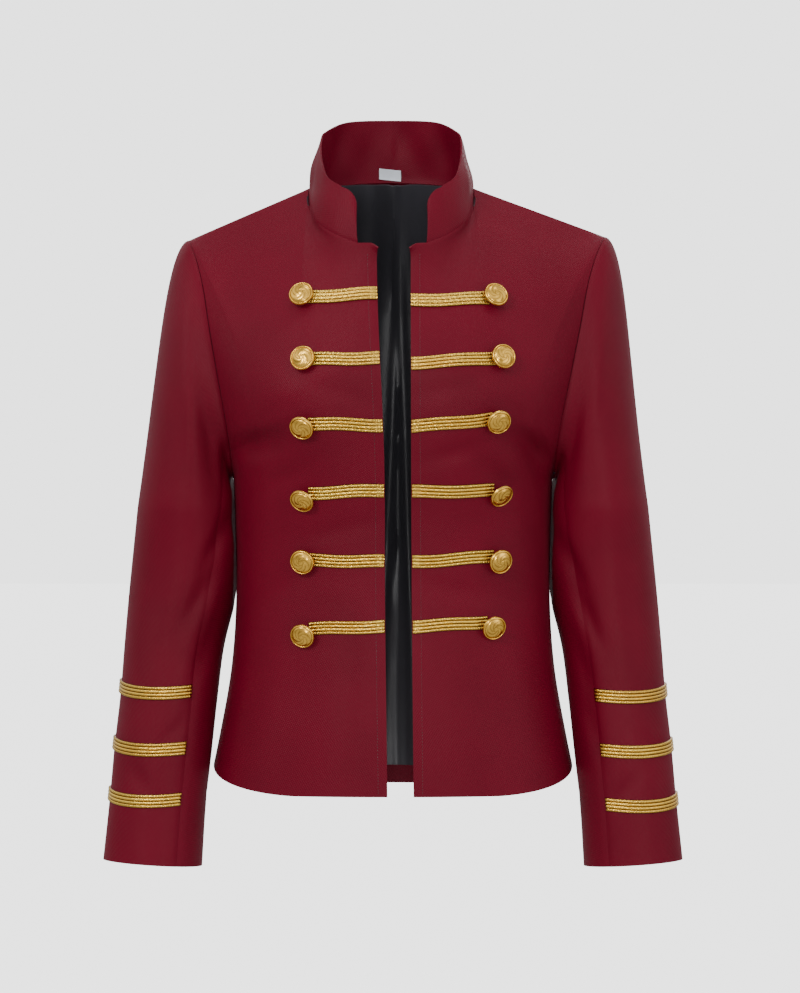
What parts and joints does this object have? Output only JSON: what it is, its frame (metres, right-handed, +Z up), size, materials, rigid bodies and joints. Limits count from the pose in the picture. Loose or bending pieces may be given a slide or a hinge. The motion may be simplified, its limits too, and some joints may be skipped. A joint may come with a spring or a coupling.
{
  "type": "military style jacket",
  "caption": "Hip-length military style jacket, hollow and filled out, with stand collar, open front, long two-piece sleeves, gold braid and domed buttons",
  "frame": {"origin": "The middle of the neck opening, at the height of the two neck points where the shoulder seams start; the wearer's neck and shoulders hold the jacket there.", "axes": "+Z is up along the body, -Y is the jacket's front, and +X is the wearer's left."},
  "size_m": [0.5666, 0.242, 0.7362],
  "materials": {
    "red_cloth": "smooth woven burgundy cloth with a soft satin sheen",
    "black_lining": "black satin lining",
    "white_label": "blank white woven label",
    "gold_braid": "metallic gold woven braid, ribbed along its length",
    "gold_button": "gold coloured domed button with a raised rim"
  },
  "bodies": {
    "root": {"front_right": "red_cloth", "front_left": "red_cloth", "back": "red_cloth", "sleeve_upper_right": "red_cloth", "sleeve_under_right": "red_cloth", "sleeve_upper_left": "red_cloth", "sleeve_under_left": "red_cloth", "collar": "red_cloth", "lining_back": "black_lining", "label": "white_label", "braid_r1": "gold_braid", "braid_r2": "gold_braid", "braid_r3": "gold_braid", "braid_r4": "gold_braid", "braid_r5": "gold_braid", "braid_r6": "gold_braid", "braid_l1": "gold_braid", "braid_l2": "gold_braid", "braid_l3": "gold_braid", "braid_l4": "gold_braid", "braid_l5": "gold_braid", "braid_l6": "gold_braid", "cuff_braid_r1": "gold_braid", "cuff_braid_r2": "gold_braid", "cuff_braid_r3": "gold_braid", "cuff_braid_l1": "gold_braid", "cuff_braid_l2": "gold_braid", "cuff_braid_l3": "gold_braid", "button_r1": "gold_button", "button_r2": "gold_button", "button_r3": "gold_button", "button_r4": "gold_button", "button_r5": "gold_button", "button_r6": "gold_button", "button_l1": "gold_button", "button_l2": "gold_button", "button_l3": "gold_button", "button_l4": "gold_button", "button_l5": "gold_button", "button_l6": "gold_button"}
  },
  "joints": []
}
